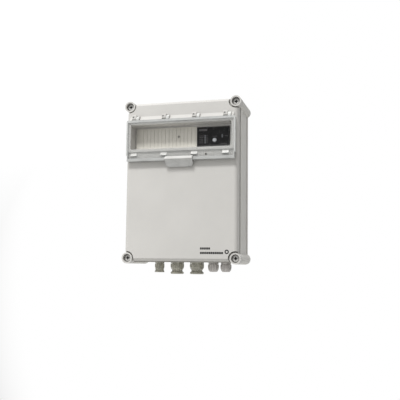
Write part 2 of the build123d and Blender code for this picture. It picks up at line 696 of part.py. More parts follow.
# --- Build everything ---
def build_enclosure():
    save("base_shell", make_base_shell())
    save("lid_gasket", make_gasket())
    save("lid_cover", make_lid_cover())
    names = ["bottom_left", "top_left", "bottom_right", "top_right"]
    for name, (x, z) in zip(names, CORNERS):
        save(f"lid_screw_{name}", make_lid_screw(x, z))


def build_window():
    save("window_flap", make_window_flap())
    save("window_hinge_brackets", *[make_hinge_bracket(x) for x in HINGE_X])
    save("window_hinge_screws", *[make_hinge_screw(x) for x in HINGE_X])
    save("window_hinge_pins", *[cross_rod(HINGE_F, HINGE_Z, PIN_R, (x + 0.8, x + 10.8)) for x in HINGE_X])
    save("blanking_strip", make_blanking_strip())
    save("blanking_strip_rivet", make_blanking_rivet())


def build_display():
    save("display_fascia", make_display_fascia())
    save("display_board", make_display_board())
    save("led_light_pipes", *make_light_pipes())
    save("status_lens", make_status_lens())
    save("reset_button", make_reset_button())
    save("reset_button_spring", make_button_dome())


def build_devices():
    poles = pole_positions(DEVICE_X, 3)
    save("breaker_housing", make_breaker_housing())
    save("breaker_knob", make_breaker_knob())
    save("breaker_terminal_screws", *pocket_screws(poles, BREAKER_TERMINAL_Z, 3.6, BREAKER_TERMINAL_F))
    save("contactor_housing", make_contactor_housing())
    save("contactor_armature", make_contactor_armature())
    save("contactor_terminal_screws", *pocket_screws(poles, CONTACTOR_TERMINAL_Z, 3.6, CONTACTOR_TERMINAL_F))
    save("overload_relay_housing", make_overload_relay())
    save("overload_dial", make_overload_dial())
    save("overload_reset_button", make_overload_reset())
    save("fuse_holder", make_fuse_holder())
    save("control_transformer", make_control_transformer())
    places = [TERMINAL_START + TERMINAL_PITCH * i for i in range(TERMINAL_COUNT)]
    save("terminal_blocks", *[make_terminal_block(x) for x in places])
    save("terminal_end_clamps", make_end_clamp(places[0] - 9.0), make_end_clamp(places[-1] + TERMINAL_PITCH + 0.8))


def build_inside():
    save("mounting_plate", make_mounting_plate())
    save("plate_screws", *make_plate_screws())
    save("din_rail_upper", make_rail(RAIL_UPPER_Z, (-105.0, 105.0)))
    save("din_rail_lower", make_rail(RAIL_LOWER_Z, (-105.0, 36.0)))
    ends = [(-102.5, RAIL_UPPER_Z), (99.0, RAIL_UPPER_Z), (-102.5, RAIL_LOWER_Z), (-50.0, RAIL_LOWER_Z)]
    save("rail_screws", *[rail_screw(x, z) for x, z in ends])
    save("earth_bar", make_earth_bar())
    save("earth_screws", *make_earth_screws())
    save("control_board", make_control_board())
    save("board_pillars", *make_board_pillars())
    save("board_relays", *make_board_relays())
    save("board_transformer", make_board_transformer())
    save("board_terminals", make_board_terminals())


def build_glands():
    for number, gland in enumerate(GLANDS, start=1):
        save(f"gland_body_{number}", make_gland_body(*gland))
        save(f"gland_nut_{number}", make_gland_nut(*gland))
    save("gland_seals", *[make_gland_seal(*gland) for gland in GLANDS])
    save("gland_washers", *[make_gland_washer(*gland) for gland in GLANDS])
    save("gland_locknuts", *[make_gland_locknut(*gland) for gland in GLANDS])


os.makedirs(OUT, exist_ok=True)
build_enclosure()
build_window()
build_display()
build_devices()
build_inside()
build_glands()
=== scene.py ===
import bpy
import bmesh
import json
import math
from mathutils import Euler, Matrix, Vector


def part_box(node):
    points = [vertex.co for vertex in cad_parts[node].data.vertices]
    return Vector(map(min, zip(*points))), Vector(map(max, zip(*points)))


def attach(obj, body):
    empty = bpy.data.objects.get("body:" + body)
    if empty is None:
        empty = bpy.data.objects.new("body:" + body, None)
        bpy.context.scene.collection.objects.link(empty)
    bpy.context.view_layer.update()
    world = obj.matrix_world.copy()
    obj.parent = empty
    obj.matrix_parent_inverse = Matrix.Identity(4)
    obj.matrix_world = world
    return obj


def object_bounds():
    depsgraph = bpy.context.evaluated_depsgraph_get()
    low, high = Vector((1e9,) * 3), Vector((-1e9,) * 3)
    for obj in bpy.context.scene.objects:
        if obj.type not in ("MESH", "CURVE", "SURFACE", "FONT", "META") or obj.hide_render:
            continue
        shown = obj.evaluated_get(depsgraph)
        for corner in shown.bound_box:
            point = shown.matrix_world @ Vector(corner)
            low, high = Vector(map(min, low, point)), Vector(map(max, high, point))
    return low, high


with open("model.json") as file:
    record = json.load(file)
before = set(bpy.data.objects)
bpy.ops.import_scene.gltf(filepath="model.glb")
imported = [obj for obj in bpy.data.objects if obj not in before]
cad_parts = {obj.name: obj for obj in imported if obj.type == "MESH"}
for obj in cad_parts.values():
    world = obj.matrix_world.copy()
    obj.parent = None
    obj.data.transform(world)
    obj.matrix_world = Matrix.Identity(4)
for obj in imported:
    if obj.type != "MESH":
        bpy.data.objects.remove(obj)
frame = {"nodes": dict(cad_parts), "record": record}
cad_low, cad_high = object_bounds()
nodes = frame["nodes"]
MM = 0.001

# Zones of the clear door: the pane, the frame round it, the frame's rim and foot, the hinge
# knuckles above, and the pull tab with its lip and hollow face. Each has its own density.
WINDOW_X = 118.0 * MM
WINDOW_Z = (72.5 * MM, 129.5 * MM)
RIM_X = 124.5 * MM
RIM_Z = (50.0 * MM, 134.5 * MM)
KNUCKLE_Z = 141.5 * MM
TAB_Y = -133.6 * MM
TAB_Z = 43.5 * MM
LIP_Z = 45.8 * MM
PANE_ALPHA = 0.008
FRAME_ALPHA = 0.17
RIM_ALPHA = 0.75
FOOT_ALPHA = 0.94
LIP_ALPHA = 0.92
SCOOP_ALPHA = 0.88


# --- Shader building blocks ---
class Shader:
    """A material under construction, with short calls for the nodes used here."""

    def __init__(self, name):
        self.material = bpy.data.materials.new(name)
        self.material.use_nodes = True
        self.tree = self.material.node_tree
        self.surface = self.tree.nodes["Principled BSDF"]
        self.position = self.tree.nodes.new("ShaderNodeTexCoord").outputs["Object"]

    def node(self, kind, **settings):
        made = self.tree.nodes.new(kind)
        for key, value in settings.items():
            setattr(made, key, value)
        return made

    def link(self, source, target):
        self.tree.links.new(source, target)

    def set(self, **values):
        """Sets the shader's own sockets; underscores stand for spaces."""
        for key, value in values.items():
            self.surface.inputs[key.replace("_", " ")].default_value = value

    def stretched(self, scale):
        """Object coordinates multiplied by a per-axis scale."""
        mapping = self.node("ShaderNodeMapping")
        mapping.inputs["Scale"].default_value = scale
        self.link(self.position, mapping.inputs["Vector"])
        return mapping.outputs["Vector"]

    def noise(self, scale, detail=4.0, rough=0.5, vector=None):
        texture = self.node("ShaderNodeTexNoise")
        texture.inputs["Scale"].default_value = scale
        texture.inputs["Detail"].default_value = detail
        texture.inputs["Roughness"].default_value = rough
        self.link(vector or self.position, texture.inputs["Vector"])
        return texture.outputs["Fac"]

    def cells(self, scale):
        texture = self.node("ShaderNodeTexVoronoi")
        texture.inputs["Scale"].default_value = scale
        self.link(self.position, texture.inputs["Vector"])
        return texture.outputs["Distance"]

    def spread(self, source, low, high, start=0.3, end=0.7):
        """Maps start..end of a source to low..high."""
        mapped = self.node("ShaderNodeMapRange")
        for key, value in (("From Min", start), ("From Max", end), ("To Min", low), ("To Max", high)):
            mapped.inputs[key].default_value = value
        self.link(source, mapped.inputs["Value"])
        return mapped.outputs["Result"]

    def mix(self, factor, first, second, blend="MIX"):
        """Mixes two colours, each given as a colour or an output."""
        mixer = self.node("ShaderNodeMix", data_type="RGBA", blend_type=blend)
        for socket, value in ((mixer.inputs[0], factor), (mixer.inputs[6], first), (mixer.inputs[7], second)):
            if isinstance(value, bpy.types.NodeSocket):
                self.link(value, socket)
            else:
                socket.default_value = value
        return mixer.outputs[2]

    def between(self, factor, first, second):
        """A number from first to second, each given as a number or an output."""
        mixer = self.node("ShaderNodeMix", data_type="FLOAT")
        for socket, value in ((mixer.inputs[0], factor), (mixer.inputs[2], first), (mixer.inputs[3], second)):
            if isinstance(value, bpy.types.NodeSocket):
                self.link(value, socket)
            else:
                socket.default_value = value
        return mixer.outputs[0]

    def largest(self, first, second):
        most = self.node("ShaderNodeMath", operation="MAXIMUM")
        self.link(first, most.inputs[0])
        self.link(second, most.inputs[1])
        return most.outputs[0]

    def product(self, first, second):
        """The product of two outputs, kept within 0..1."""
        times = self.node("ShaderNodeMath", operation="MULTIPLY", use_clamp=True)
        self.link(first, times.inputs[0])
        self.link(second, times.inputs[1])
        return times.outputs[0]

    def bump(self, height, distance, strength=1.0, normal=None):
        bump = self.node("ShaderNodeBump")
        bump.inputs["Distance"].default_value = distance
        bump.inputs["Strength"].default_value = strength
        self.link(height, bump.inputs["Height"])
        if normal:
            self.link(normal, bump.inputs["Normal"])
        return bump.outputs["Normal"]

    def feed(self, name, source):
        self.link(source, self.surface.inputs[name])


def rgb(red, green, blue):
    """A linear colour from 0..255 screen values."""
    def linear(value):
        value /= 255
        return value / 12.92 if value <= 0.04045 else ((value + 0.055) / 1.055) ** 2.4
    return (linear(red), linear(green), linear(blue), 1.0)


def shade(colour, factor):
    return tuple(channel * factor for channel in colour[:3]) + (1.0,)


def moulded(name, colour, rough=0.45, grain=0.02 * MM, grain_scale=2200.0, mottle=0.03, right_shade=1.0):
    """Injection-moulded plastic: mottling, spark-eroded grain, sink waves, and painted shade that darkens it
    towards the right.
    """
    s = Shader(name)
    broad = s.spread(s.noise(14.0, 3.0), 0.0, 1.0)
    tone = s.mix(broad, shade(colour, 1 - mottle), shade(colour, 1 + mottle))
    # Painted shade: below 1, right_shade darkens the tone from left to right, for light that falls off across
    # the part.
    if right_shade < 1.0:
        place = s.node("ShaderNodeSeparateXYZ")
        s.link(s.position, place.inputs[0])
        across = s.spread(place.outputs["X"], 0.0, 1.0, -130.0 * MM, 130.0 * MM)
        right_shaded_tone = s.mix(broad, shade(colour, (1 - mottle) * right_shade), shade(colour, (1 + mottle) * right_shade))
        tone = s.mix(across, tone, right_shaded_tone)
    specks = s.spread(s.noise(900.0, 2.0), 0.0, 1.0, 0.45, 0.8)
    s.feed("Base Color", s.mix(specks, tone, shade(colour, 0.93)))
    s.feed("Roughness", s.spread(s.noise(55.0, 5.0, 0.6), rough - 0.05, rough + 0.06))
    waves = s.bump(s.noise(28.0, 1.0), 0.25 * MM, 0.35)
    s.feed("Normal", s.bump(s.noise(grain_scale, 2.0), grain, 0.6, waves))
    s.set(IOR=1.52)
    return s.material


def nylon(name, colour, rough=0.24):
    """Ribbed nylon: pale and dark streaks that run down the part, painted light and shade of its ribs and
    facets, under a slight gloss.
    """
    s = Shader(name)
    # Painted light and shade: vertical streaks lighter and darker than the part's colour.
    streaks = s.spread(s.noise(1.0, 2.0, 0.5, s.stretched((330.0, 330.0, 26.0))), 0.0, 1.0, 0.36, 0.64)
    s.feed("Base Color", s.mix(streaks, shade(colour, 0.78), shade(colour, 1.24)))
    s.feed("Roughness", s.spread(s.noise(160.0, 4.0, 0.6), rough - 0.05, rough + 0.12))
    s.feed("Normal", s.bump(s.noise(1900.0, 2.0), 0.015 * MM, 0.6))
    s.set(IOR=1.53)
    return s.material


def brushed(name, colour, rough=0.32, scale=(30.0, 30.0, 1400.0), patina=0.08):
    """Plated sheet steel with drawn lines and a cloudy zinc bloom."""
    s = Shader(name)
    lines = s.noise(1.0, 3.0, 0.6, s.stretched(scale))
    bloom = s.spread(s.cells(120.0), 0.0, 1.0, 0.0, 0.8)
    tone = s.mix(bloom, shade(colour, 1 - patina), shade(colour, 1 + patina))
    s.feed("Base Color", tone)
    s.feed("Roughness", s.spread(lines, rough - 0.08, rough + 0.12))
    s.feed("Normal", s.bump(lines, 0.01 * MM, 0.5))
    s.set(Metallic=1.0)
    return s.material


def rubbery(name, colour, rough=0.7):
    """Dull rubber with a little pale dust."""
    s = Shader(name)
    dust = s.spread(s.noise(300.0, 4.0), 0.0, 1.0, 0.5, 0.75)
    s.feed("Base Color", s.mix(dust, colour, shade(colour, 1.5)))
    s.feed("Roughness", s.spread(s.noise(90.0), rough - 0.08, rough + 0.1))
    s.feed("Normal", s.bump(s.noise(1500.0, 2.0), 0.03 * MM, 0.8))
    return s.material


def glossy_panel(name, colour, rough=0.34):
    """Printed polyester film: near black, fine pearl finish and faint handling marks."""
    s = Shader(name)
    s.feed("Base Color", s.mix(s.spread(s.noise(40.0), 0.0, 1.0), shade(colour, 0.85), shade(colour, 1.2)))
    s.feed("Roughness", s.spread(s.noise(70.0, 6.0, 0.65), rough - 0.05, rough + 0.14))
    s.feed("Normal", s.bump(s.noise(3200.0, 2.0), 0.006 * MM, 0.6))
    s.set(IOR=1.35, Specular_IOR_Level=0.2)
    return s.material


def laminate(name, colour):
    """Circuit board: woven glass under green resist."""
    s = Shader(name)
    weave = s.node("ShaderNodeTexWave", wave_type="BANDS", bands_direction="DIAGONAL")
    weave.inputs["Scale"].default_value = 260.0
    s.link(s.position, weave.inputs["Vector"])
    tone = s.mix(s.spread(weave.outputs["Fac"], 0.0, 0.4, 0.0, 1.0), colour, shade(colour, 1.5))
    s.feed("Base Color", s.mix(s.spread(s.noise(45.0), 0.0, 0.5), tone, shade(colour, 0.7)))
    s.feed("Roughness", s.spread(s.noise(120.0), 0.28, 0.42))
    s.set(Coat_Weight=0.3, Coat_Roughness=0.15)
    return s.material


def clear_plastic(name):
    """Clear polycarbonate: transparent over the window, denser over the frame and in the pull tab, with
    painted light and shade in the tints of its rim, foot, knuckles and tab.
    """
    s = Shader(name)
    split = s.node("ShaderNodeSeparateXYZ")
    s.link(s.position, split.inputs[0])

    def past(value, limit, blur):
        """1 where the value is more than the limit, 0 where it is less, with a soft change."""
        return s.spread(value, 0.0, 1.0, limit - blur * MM, limit + blur * MM)

    def short_of(value, limit, blur):
        """The reverse: 1 where the value is less than the limit."""
        return s.spread(value, 1.0, 0.0, limit - blur * MM, limit + blur * MM)

    height = split.outputs["Z"]
    above = past(height, WINDOW_Z[0], 1.5)
    below = short_of(height, WINDOW_Z[1], 1.5)
    across = s.node("ShaderNodeMath", operation="ABSOLUTE")
    s.link(split.outputs["X"], across.inputs[0])
    beside = short_of(across.outputs[0], WINDOW_X, 1.5)
    pane = s.product(s.product(above, below), beside)
    base = s.between(pane, FRAME_ALPHA, PANE_ALPHA)
    ends = past(across.outputs[0], RIM_X, 1.0)
    top = past(height, RIM_Z[1], 1.0)
    foot = short_of(height, RIM_Z[0], 1.0)
    rim = s.largest(s.largest(ends, top), foot)
    tab = s.largest(short_of(split.outputs["Y"], TAB_Y, 0.4), short_of(height, TAB_Z, 0.3))
    lip = past(height, LIP_Z, 0.8)
    knuckle = past(height, KNUCKLE_Z, 0.3)
    frame_alpha = s.between(s.largest(foot, knuckle), s.between(rim, base, RIM_ALPHA), FOOT_ALPHA)
    alpha = s.between(tab, frame_alpha, s.between(lip, SCOOP_ALPHA, LIP_ALPHA))
    haze = s.spread(s.noise(35.0, 5.0, 0.6), 0.85, 1.15)
    s.feed("Alpha", s.product(alpha, haze))
    tint = s.mix(s.spread(s.noise(20.0), 0.0, 1.0), rgb(172, 174, 172), rgb(162, 164, 163))
    # Painted light and shade in the frame: the rim is paler, for light caught in the clear walls seen
    # edge-on, and the foot is darker, painted shade over the door's lower band.
    frame_tint_lit_shaded = s.mix(foot, s.mix(rim, tint, rgb(190, 191, 189)), rgb(162, 163, 161))
    # Painted light: the hinge knuckles are paler, for light on their humps; painted shade: the pull tab's
    # hollow face is darker than its lip, being turned down from the light.
    knuckle_tab_lit_shaded = s.mix(tab, s.mix(knuckle, frame_tint_lit_shaded, rgb(206, 206, 203)), rgb(188, 188, 186))
    # Painted highlight: the pull tab's lip, turned up to the light, is paler than its face.
    s.feed("Base Color", s.mix(s.product(tab, lip), knuckle_tab_lit_shaded, rgb(204, 203, 200)))
    s.feed("Roughness", s.spread(s.noise(60.0, 6.0, 0.6), 0.06, 0.16))
    s.feed("Normal", s.bump(s.noise(18.0, 1.0), 0.3 * MM, 0.3))
    s.set(IOR=1.58)
    return s.material


MATERIALS = {
    "enclosure_grey": moulded("enclosure_grey", rgb(189, 187, 181)),
    # The lid's grey carries painted shade that darkens it towards its right side.
    "lid_grey": moulded("lid_grey", rgb(187, 185, 181), right_shade=0.9),
    "clear_window": clear_plastic("clear_window"),
    "gasket_rubber": rubbery("gasket_rubber", rgb(52, 52, 54)),
    "screw_plastic": moulded("screw_plastic", rgb(176, 175, 172), 0.38),
    "strip_grey": moulded("strip_grey", rgb(204, 201, 192), 0.5),
    "fascia_black": glossy_panel("fascia_black", rgb(15, 14, 15)),
    "button_grey": moulded("button_grey", rgb(182, 184, 188), 0.4, mottle=0.02),
    "lens_clear": moulded("lens_clear", rgb(104, 106, 110), 0.18, mottle=0.02),
    "silicone": rubbery("silicone", rgb(196, 196, 190), 0.55),
    "circuit_board": laminate("circuit_board", rgb(24, 84, 48)),
    "zinc_steel": brushed("zinc_steel", rgb(196, 199, 203)),
    "screw_steel": brushed("screw_steel", rgb(190, 190, 188), 0.25, (900.0, 900.0, 900.0)),
    "device_grey": moulded("device_grey", rgb(78, 81, 84), 0.5),
    "device_light": moulded("device_light", rgb(192, 192, 188), 0.5),
    "knob_black": moulded("knob_black", rgb(30, 30, 31), 0.32),
    "armature_cream": moulded("armature_cream", rgb(206, 200, 176), 0.42),
    "dial_white": moulded("dial_white", rgb(222, 222, 218), 0.4),
    "reset_red": moulded("reset_red", rgb(176, 36, 30), 0.35),
    "terminal_grey": moulded("terminal_grey", rgb(148, 150, 148), 0.5),
    "earth_brass": brushed("earth_brass", rgb(196, 168, 96), 0.3, (1200.0, 40.0, 40.0)),
    "relay_blue": moulded("relay_blue", rgb(44, 74, 138), 0.35),
    "transformer_black": moulded("transformer_black", rgb(40, 40, 41), 0.55),
    "terminal_green": moulded("terminal_green", rgb(46, 122, 66), 0.45),
    "gland_grey": nylon("gland_grey", rgb(160, 158, 146)),
    "gland_light": nylon("gland_light", rgb(178, 174, 171)),
    "seal_black": rubbery("seal_black", rgb(34, 34, 34)),
}


# --- The CAD nodes: materials and softened edges ---
SLOTS = {part["node"]: part["material_slot"] for part in frame["record"]["subparts"]}
EDGE_DEFAULT = 0.25 * MM
EDGES = {"base_shell": 0.7 * MM, "lid_cover": 0.6 * MM, "window_flap": 0.4 * MM, "mounting_plate": 0.15 * MM}


def soften(thing, width):
    """Small rounded edges and even shading, as moulded and pressed parts have."""
    for polygon in thing.data.polygons:
        polygon.use_smooth = True
    weld = thing.modifiers.new("weld", "WELD")
    weld.merge_threshold = 0.001 * MM
    flat = thing.modifiers.new("flat", "DECIMATE")
    flat.decimate_type = "DISSOLVE"
    flat.angle_limit = math.radians(0.5)
    bevel = thing.modifiers.new("bevel", "BEVEL")
    bevel.width = width
    bevel.segments = 2
    bevel.limit_method = "ANGLE"
    bevel.angle_limit = math.radians(32)
    bevel.use_clamp_overlap = True
    normals = thing.modifiers.new("normals", "WEIGHTED_NORMAL")
    normals.keep_sharp = False
    normals.weight = 80


# A node that looks unlike the rest of its slot has a material of its own.
SPECIAL = {"blanking_strip_rivet": moulded("rivet_grey", rgb(128, 126, 120), 0.4)}

for name, thing in nodes.items():
    thing.material_slots[0].material = SPECIAL.get(name, MATERIALS[SLOTS[name]])
    soften(thing, EDGES.get(name, EDGE_DEFAULT))


# --- Building pieces that the CAD model leaves plain ---
class Piece:
    """One mesh of many small moulded or printed features, in millimetres.

    Places are x, z and f, the depth in front of the wall.
    """

    def __init__(self, name, body, material, bevel=0.0):
        self.name = name
        self.body = body
        self.material = material
        self.bevel = bevel
        self.bm = bmesh.new()

    def prism(self, outline, fs):
        """A prism from an outline of (x, z) points, run counter-clockwise as seen from the front."""
        back = [self.bm.verts.new((x * MM, -fs[0] * MM, z * MM)) for x, z in outline]
        front = [self.bm.verts.new((x * MM, -fs[1] * MM, z * MM)) for x, z in outline]
        self.bm.faces.new(front)
        self.bm.faces.new(list(reversed(back)))
        for i in range(len(outline)):
            j = (i + 1) % len(outline)
            self.bm.faces.new((back[i], back[j], front[j], front[i]))

    def pad(self, xs, zs, fs, radius=0.0, steps=4):
        """A rounded rectangle prism."""
        if not radius:
            self.prism([(xs[0], zs[0]), (xs[1], zs[0]), (xs[1], zs[1]), (xs[0], zs[1])], fs)
            return
        corners = [(xs[1] - radius, zs[0] + radius, -90), (xs[1] - radius, zs[1] - radius, 0),
                   (xs[0] + radius, zs[1] - radius, 90), (xs[0] + radius, zs[0] + radius, 180)]
        outline = []
        for cx, cz, start in corners:
            for i in range(steps + 1):
                angle = math.radians(start + 90 * i / steps)
                outline.append((cx + radius * math.cos(angle), cz + radius * math.sin(angle)))
        self.prism(outline, fs)

    def hull(self, loops):
        """Closed solid through loops of (x, y, z) points in millimetres, each with the same count."""
        rows = [[self.bm.verts.new([value * MM for value in point]) for point in loop] for loop in loops]
        count = len(rows[0])
        for low, high in zip(rows, rows[1:]):
            for i in range(count):
                j = (i + 1) % count
                self.bm.faces.new((low[i], low[j], high[j], high[i]))
        self.bm.faces.new(list(reversed(rows[0])))
        self.bm.faces.new(rows[-1])

    def section(self, profile, xs):
        """A side section of (f, z) points, run along X."""
        self.hull([[(x, -f, z) for f, z in profile] for x in xs])

    def disc(self, x, z, radius, fs, steps=28):
        angles = [2 * math.pi * i / steps for i in range(steps)]
        self.prism([(x + radius * math.cos(a), z + radius * math.sin(a)) for a in angles], fs)

    def ring(self, x, z, outer, inner, fs, steps=32, stretch=1.0):
        """A flat ring, or an oval one if stretched upwards."""
        loops = []
        for radius, f in ((outer, fs[0]), (outer, fs[1]), (inner, fs[1]), (inner, fs[0])):
            tall = radius + outer * (stretch - 1)
            angles = [2 * math.pi * i / steps for i in range(steps)]
            points = [((x + radius * math.cos(a)) * MM, -f * MM, (z + tall * math.sin(a)) * MM)
                      for a in angles]
            loops.append([self.bm.verts.new(point) for point in points])
        for first, second in zip(loops, loops[1:] + loops[:1]):
            for i in range(steps):
                j = (i + 1) % steps
                self.bm.faces.new((first[i], first[j], second[j], second[i]))

    def finish(self):
        bmesh.ops.recalc_face_normals(self.bm, faces=self.bm.faces)
        mesh = bpy.data.meshes.new(self.name)
        self.bm.to_mesh(mesh)
        self.bm.free()
        mesh.materials.append(self.material)
        thing = bpy.data.objects.new(self.name, mesh)
        bpy.context.scene.collection.objects.link(thing)
        if self.bevel:
            soften(thing, self.bevel * MM)
        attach(thing, self.body)
        return thing


def printed(name, colour, rough=0.5, uneven=0.15):
    """Screen-printed ink: slightly uneven cover with a faint mesh pattern."""
    s = Shader(name)
    cover = s.spread(s.noise(700.0, 3.0), 0.0, 1.0)
    s.feed("Base Color", s.mix(cover, shade(colour, 1 - uneven), shade(colour, 1 + uneven)))
    s.feed("Roughness", s.spread(s.noise(260.0), rough - 0.08, rough + 0.1))
    s.feed("Normal", s.bump(s.noise(2600.0, 2.0), 0.01 * MM, 0.5))
    return s.material


LID_F = 121.0
PANEL_F = 97.2
SOCKET_DEPTH = 4.2
HINGE_X = (-109.0, -37.0, 35.0, 107.0)
CORNERS = [("top_left", -126, 176), ("top_right", 126, 176),
           ("bottom_left", -126, -176), ("bottom_right", 126, -176)]
LED_Z = (88.0, 92.0, 96.0, 100.0, 104.0)


def make_lid_print():
    """Plain marks low on the lid's right: a short row, a long row and a ring."""
    ink = printed("ink_black", rgb(18, 17, 17))
    print_f = (LID_F - 0.05, LID_F + 0.06)
    marks = Piece("lid_print", "lid", ink)
    for i in range(5):
        marks.pad((47.2 + 4.7 * i, 51.3 + 4.7 * i), (-156.5, -151.7), print_f, 0.9)
    for i in range(11):
        marks.pad((47.2 + 4.8 * i, 51.5 + 4.8 * i), (-166.4, -161.6), print_f, 0.9)
    marks.ring(107.6, -161.4, 4.9, 2.3, print_f)
    marks.finish()


def make_panel_print():
    """Faint marks on the display: a title bar, label rows by the lights, a foot row and a border."""
    faint = printed("ink_faint", rgb(74, 72, 74), 0.4)
    print_f = (PANEL_F - 0.05, PANEL_F + 0.05)
    marks = Piece("panel_print", "lid", faint)
    marks.pad((36.0, 55.4), (115.2, 119.8), print_f, 0.6)
    for z in LED_Z:
        marks.pad((36.0, 46.6), (z - 0.55, z + 0.55), print_f, 0.4)
        marks.pad((52.9, 56.5), (z - 0.45, z + 0.45), print_f, 0.4)
    for i in range(5):
        marks.pad((86.6 + 3.1 * i, 89.0 + 3.1 * i), (83.6, 84.9), print_f, 0.4)
    marks.pad((67.0, 78.8), (101.4, 102.4), print_f, 0.4)
    marks.pad((97.2, 103.4), (101.6, 102.8), print_f, 0.4)
    marks.finish()
    border = Piece("panel_border", "lid", printed("ink_border", rgb(96, 95, 96), 0.4))
    left, right, low, high, wide = 32.2, 106.6, 81.6, 123.4, 0.35
    border.pad((left, right), (high - wide, high), print_f)
    border.pad((left, right), (low, low + wide), print_f)
    border.pad((left, left + wide), (low + wide, high - wide), print_f)
    border.pad((right - wide, right), (low + wide, high - wide), print_f)
    border.finish()
    rims = Piece("panel_rims", "lid", MATERIALS["lens_clear"])
    rims.ring(72.9, 93.4, 5.3, 4.5, (PANEL_F - 0.05, PANEL_F + 0.35))
    rims.ring(90.6, 102.3, 1.75, 1.35, (PANEL_F - 0.05, PANEL_F + 0.25), stretch=2.6)
    for z in LED_Z:
        rims.ring(50.5, z, 1.85, 1.35, (PANEL_F - 0.05, PANEL_F + 0.2), steps=20)
    rims.finish()


def make_hinge_saddles():
    """Moulded webs that close most of the gaps beside each hinge knuckle."""
    tall_web = [(LID_F, 142.2), (127.6, 142.2), (129.6, 144.0),
                (129.6, 150.4), (127.6, 152.0), (LID_F, 152.0)]
    low_web = [(LID_F, 141.8), (127.9, 141.8), (128.5, 143.0), (125.6, 149.6), (LID_F, 149.8)]
    webs = Piece("hinge_saddles", "lid", MATERIALS["lid_grey"], bevel=0.1)
    for hinge in HINGE_X:
        webs.section(tall_web, (hinge + 3.4, hinge + 3.85))
        webs.section(low_web, (hinge - 8.05, hinge - 7.45))
        webs.section(low_web, (hinge + 10.75, hinge + 11.25))
    webs.finish()


def make_seam_lip():
    """The gasket's outer lip, a darker line in the seam between base and lid: partly the rubber, partly
    painted shade standing in for the seam's shadow.
    """
    lip = Piece("seam_lip", "enclosure", rubbery("seam_rubber_shade", rgb(136, 134, 128)), bevel=0.15)
    wide, tall, fs = 132.5, 184.1, (95.45, 96.2)
    for side in (-1, 1):
        lip.pad(sorted((side * (wide - 3.5), side * wide)), (-tall + 10, tall - 10), fs)
        lip.pad((-wide + 8, wide - 8), sorted((side * (tall - 3.5), side * tall)), fs)
    lip.finish()


def make_socket_floors():
    """Dark discs and crosses on the floors of the lid screws' driver sockets: painted shade in the deep
    sockets.
    """
    for corner, x, z in CORNERS:
        low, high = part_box(f"lid_screw_{corner}")
        floor_f = -low.y / MM - SOCKET_DEPTH
        shade_piece = Piece(f"socket_{corner}", f"screw_{corner}", MATERIALS["seal_black"])
        # Painted shade: a black disc and cross at each socket floor.
        shade_piece.disc(x, z, 2.8, (floor_f - 0.1, floor_f + 1.2))
        shade_piece.pad((x - 4.1, x - 2.5), (z - 0.8, z + 0.8), (floor_f - 0.1, floor_f + 0.8))
        shade_piece.pad((x + 2.5, x + 4.1), (z - 0.8, z + 0.8), (floor_f - 0.1, floor_f + 0.8))
        shade_piece.pad((x - 0.8, x + 0.8), (z - 4.1, z - 2.5), (floor_f - 0.1, floor_f + 0.8))
        shade_piece.pad((x - 0.8, x + 0.8), (z + 2.5, z + 4.1), (floor_f - 0.1, floor_f + 0.8))
        shade_piece.finish()


def make_catch_faces():
    """The sloped faces of the four catches that hold the window shut, in near white: a painted highlight
    where light falls on the slopes.
    """
    # Painted highlight: near-white pads laid on the catch slopes.
    faces = Piece("catch_faces", "lid", moulded("catch_highlight", rgb(232, 231, 227), 0.3), bevel=0.12)
    for x in (-111, -39, 33, 105):
        profile = [(125.9, 64.7), (126.25, 64.7), (130.0, 57.1), (130.0, 56.7), (129.5, 56.7)]
        faces.section(profile, (x - 7.3, x + 7.3))
    faces.finish()


GLAND_F = 40.0
GLAND_RIBS = [(1, -73.0, 10.4, 11.3, -189.0, -197.0, 12), (2, -29.2, 14.8, 16.0, -189.0, -195.2, 16),
              (3, 18.8, 15.4, 16.6, -189.0, -195.2, 16), (4, 58.6, 11.8, 12.8, -190.2, -196.5, 14),
              (5, 88.4, 11.8, 12.8, -190.2, -196.5, 14)]


def make_gland_ribs():
    """Grip ribs round each dome nut."""
    for number, x, inner, outer, top, low, count in GLAND_RIBS:
        slot = "gland_grey" if number <= 3 else "gland_light"
        ribs = Piece(f"gland_ribs_{number}", f"nut_{number}", MATERIALS[slot], bevel=0.2)
        half = math.pi * outer / count * 0.42
        for i in range(count):
            angle = 2 * math.pi * (i + 0.5) / count
            along, across = (math.cos(angle), math.sin(angle)), (-math.sin(angle), math.cos(angle))
            loops = []
            for z, reach in ((low, outer - 0.7), (low + 1.4, outer), (top - 0.6, outer), (top, outer - 0.5)):
                root, crest = inner - 1.6, half * 0.6
                corners = ((root, -half), (reach, -crest), (reach, crest), (root, half))
                loops.append([(x + r * along[0] + t * across[0], -GLAND_F + r * along[1] + t * across[1], z)
                              for r, t in corners])
            ribs.hull(loops)
        ribs.finish()


LABEL = printed("label_white", rgb(216, 216, 212), 0.45, 0.03)
INK = printed("ink_dark", rgb(44, 44, 46), 0.5)
METAL = MATERIALS["screw_steel"]


def label(piece, ink, xs, zs, f, rows):
    """A stuck-on plate with plain printed rows that carry no words."""
    piece.pad(xs, zs, (f - 0.1, f + 0.15), 0.6)
    step = (zs[1] - zs[0]) / (rows + 1)
    for i in range(rows):
        z = zs[1] - step * (i + 1)
        end = xs[0] + (xs[1] - xs[0]) * (0.9 - 0.17 * (i % 3))
        ink.pad((xs[0] + 1.2, end), (z - step * 0.16, z + step * 0.16), (f + 0.1, f + 0.2), 0.2)


